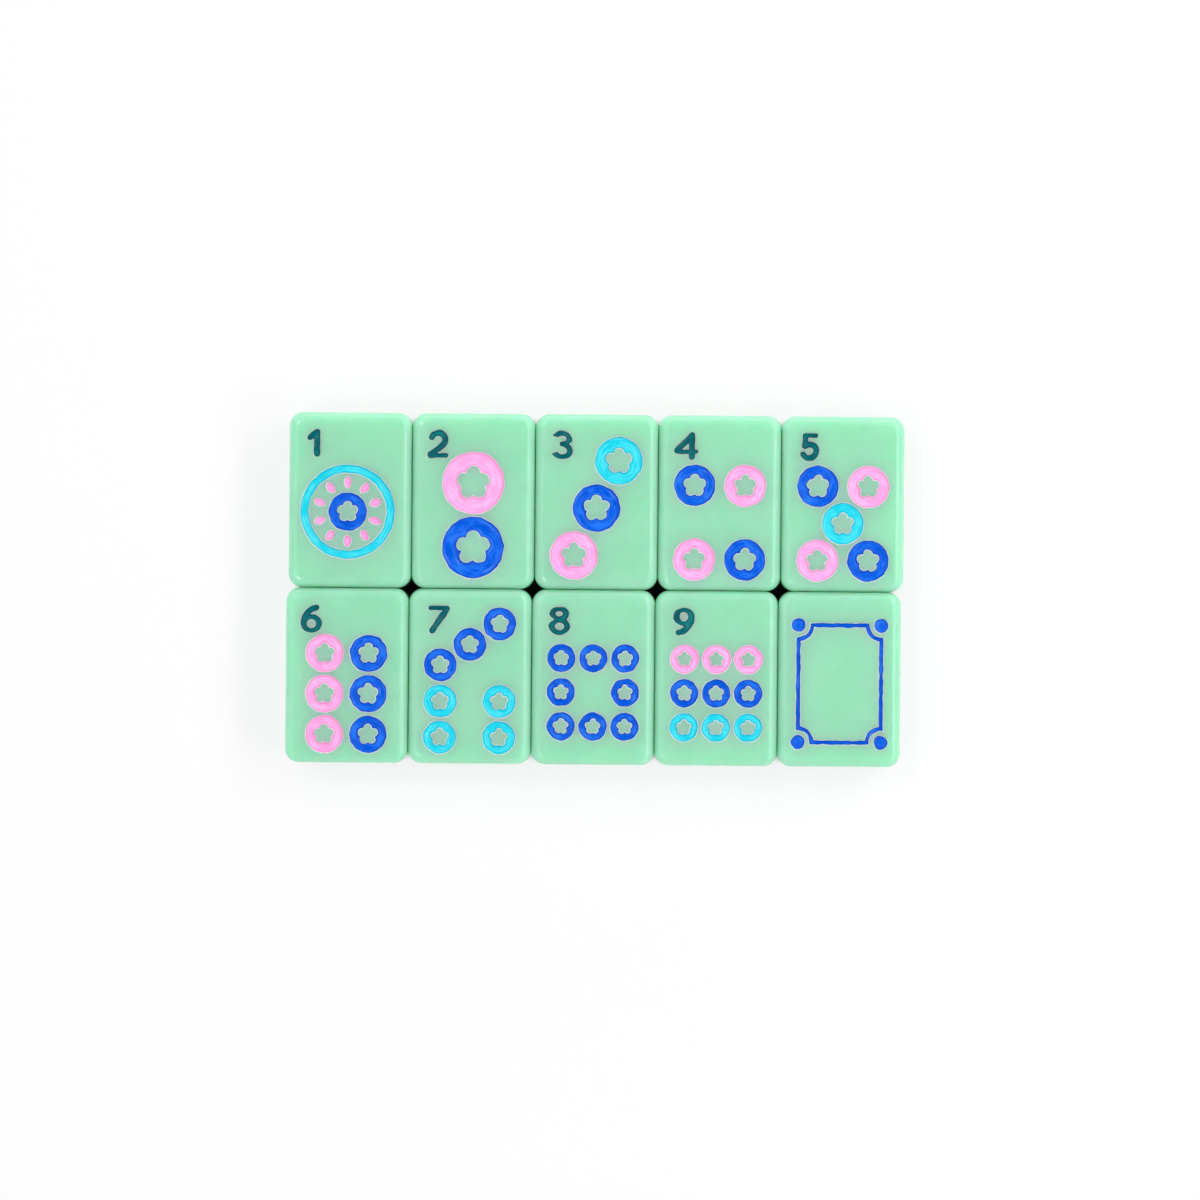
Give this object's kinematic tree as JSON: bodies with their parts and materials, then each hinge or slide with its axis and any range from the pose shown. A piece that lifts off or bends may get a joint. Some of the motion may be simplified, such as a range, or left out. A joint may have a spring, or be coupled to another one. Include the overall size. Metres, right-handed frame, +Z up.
{
  "type": "mahjong tile set",
  "caption": "Rounded mahjong tiles of the dots suit, laid face up in two rows, with engraved numerals and blossom dots filled with paint; each tile lifts out of the rows.",
  "frame": {"origin": "middle of the set's footprint, on the surface that the tiles' backs lie on", "axes": "+X along the rows, from the lower numbers to the higher; +Y from the lower row to the upper row, the way the numerals read; +Z up, out of the faces"},
  "size_m": [0.1062, 0.0604, 0.013],
  "materials": {
    "mint_plastic": "polished pale green melamine, slightly translucent",
    "teal_paint": "dark teal engraving paint, glossy",
    "blue_paint": "bright blue engraving paint, glossy",
    "sky_paint": "sky blue engraving paint, glossy",
    "pink_paint": "pale pink engraving paint, glossy"
  },
  "bodies": {
    "tile_1": {"tile_1_block": "mint_plastic", "tile_1_numeral_paint": "teal_paint", "tile_1_sky_paint": "sky_paint", "tile_1_blue_paint": "blue_paint", "tile_1_pink_paint": "pink_paint"},
    "tile_2": {"tile_2_block": "mint_plastic", "tile_2_numeral_paint": "teal_paint", "tile_2_blue_paint": "blue_paint", "tile_2_pink_paint": "pink_paint"},
    "tile_3": {"tile_3_block": "mint_plastic", "tile_3_numeral_paint": "teal_paint", "tile_3_sky_paint": "sky_paint", "tile_3_blue_paint": "blue_paint", "tile_3_pink_paint": "pink_paint"},
    "tile_4": {"tile_4_block": "mint_plastic", "tile_4_numeral_paint": "teal_paint", "tile_4_blue_paint": "blue_paint", "tile_4_pink_paint": "pink_paint"},
    "tile_5": {"tile_5_block": "mint_plastic", "tile_5_numeral_paint": "teal_paint", "tile_5_sky_paint": "sky_paint", "tile_5_blue_paint": "blue_paint", "tile_5_pink_paint": "pink_paint"},
    "tile_6": {"tile_6_block": "mint_plastic", "tile_6_numeral_paint": "teal_paint", "tile_6_blue_paint": "blue_paint", "tile_6_pink_paint": "pink_paint"},
    "tile_7": {"tile_7_block": "mint_plastic", "tile_7_numeral_paint": "teal_paint", "tile_7_sky_paint": "sky_paint", "tile_7_blue_paint": "blue_paint"},
    "tile_8": {"tile_8_block": "mint_plastic", "tile_8_numeral_paint": "teal_paint", "tile_8_blue_paint": "blue_paint"},
    "tile_9": {"tile_9_block": "mint_plastic", "tile_9_numeral_paint": "teal_paint", "tile_9_sky_paint": "sky_paint", "tile_9_blue_paint": "blue_paint", "tile_9_pink_paint": "pink_paint"},
    "frame_tile": {"frame_tile_block": "mint_plastic", "frame_tile_blue_paint": "blue_paint"}
  },
  "joints": [
    {"name": "tile_1_lift", "type": "slide", "parent": "tile_3", "child": "tile_1", "axis": [0, 0, 1], "range_m": [0, 0.02]},
    {"name": "tile_2_lift", "type": "slide", "parent": "tile_3", "child": "tile_2", "axis": [0, 0, 1], "range_m": [0, 0.02]},
    {"name": "tile_4_lift", "type": "slide", "parent": "tile_3", "child": "tile_4", "axis": [0, 0, 1], "range_m": [0, 0.02]},
    {"name": "tile_5_lift", "type": "slide", "parent": "tile_3", "child": "tile_5", "axis": [0, 0, 1], "range_m": [0, 0.02]},
    {"name": "tile_6_lift", "type": "slide", "parent": "tile_3", "child": "tile_6", "axis": [0, 0, 1], "range_m": [0, 0.02]},
    {"name": "tile_7_lift", "type": "slide", "parent": "tile_3", "child": "tile_7", "axis": [0, 0, 1], "range_m": [0, 0.02]},
    {"name": "tile_8_lift", "type": "slide", "parent": "tile_3", "child": "tile_8", "axis": [0, 0, 1], "range_m": [0, 0.02]},
    {"name": "tile_9_lift", "type": "slide", "parent": "tile_3", "child": "tile_9", "axis": [0, 0, 1], "range_m": [0, 0.02]},
    {"name": "frame_tile_lift", "type": "slide", "parent": "tile_3", "child": "frame_tile", "axis": [0, 0, 1], "range_m": [0, 0.02]}
  ]
}
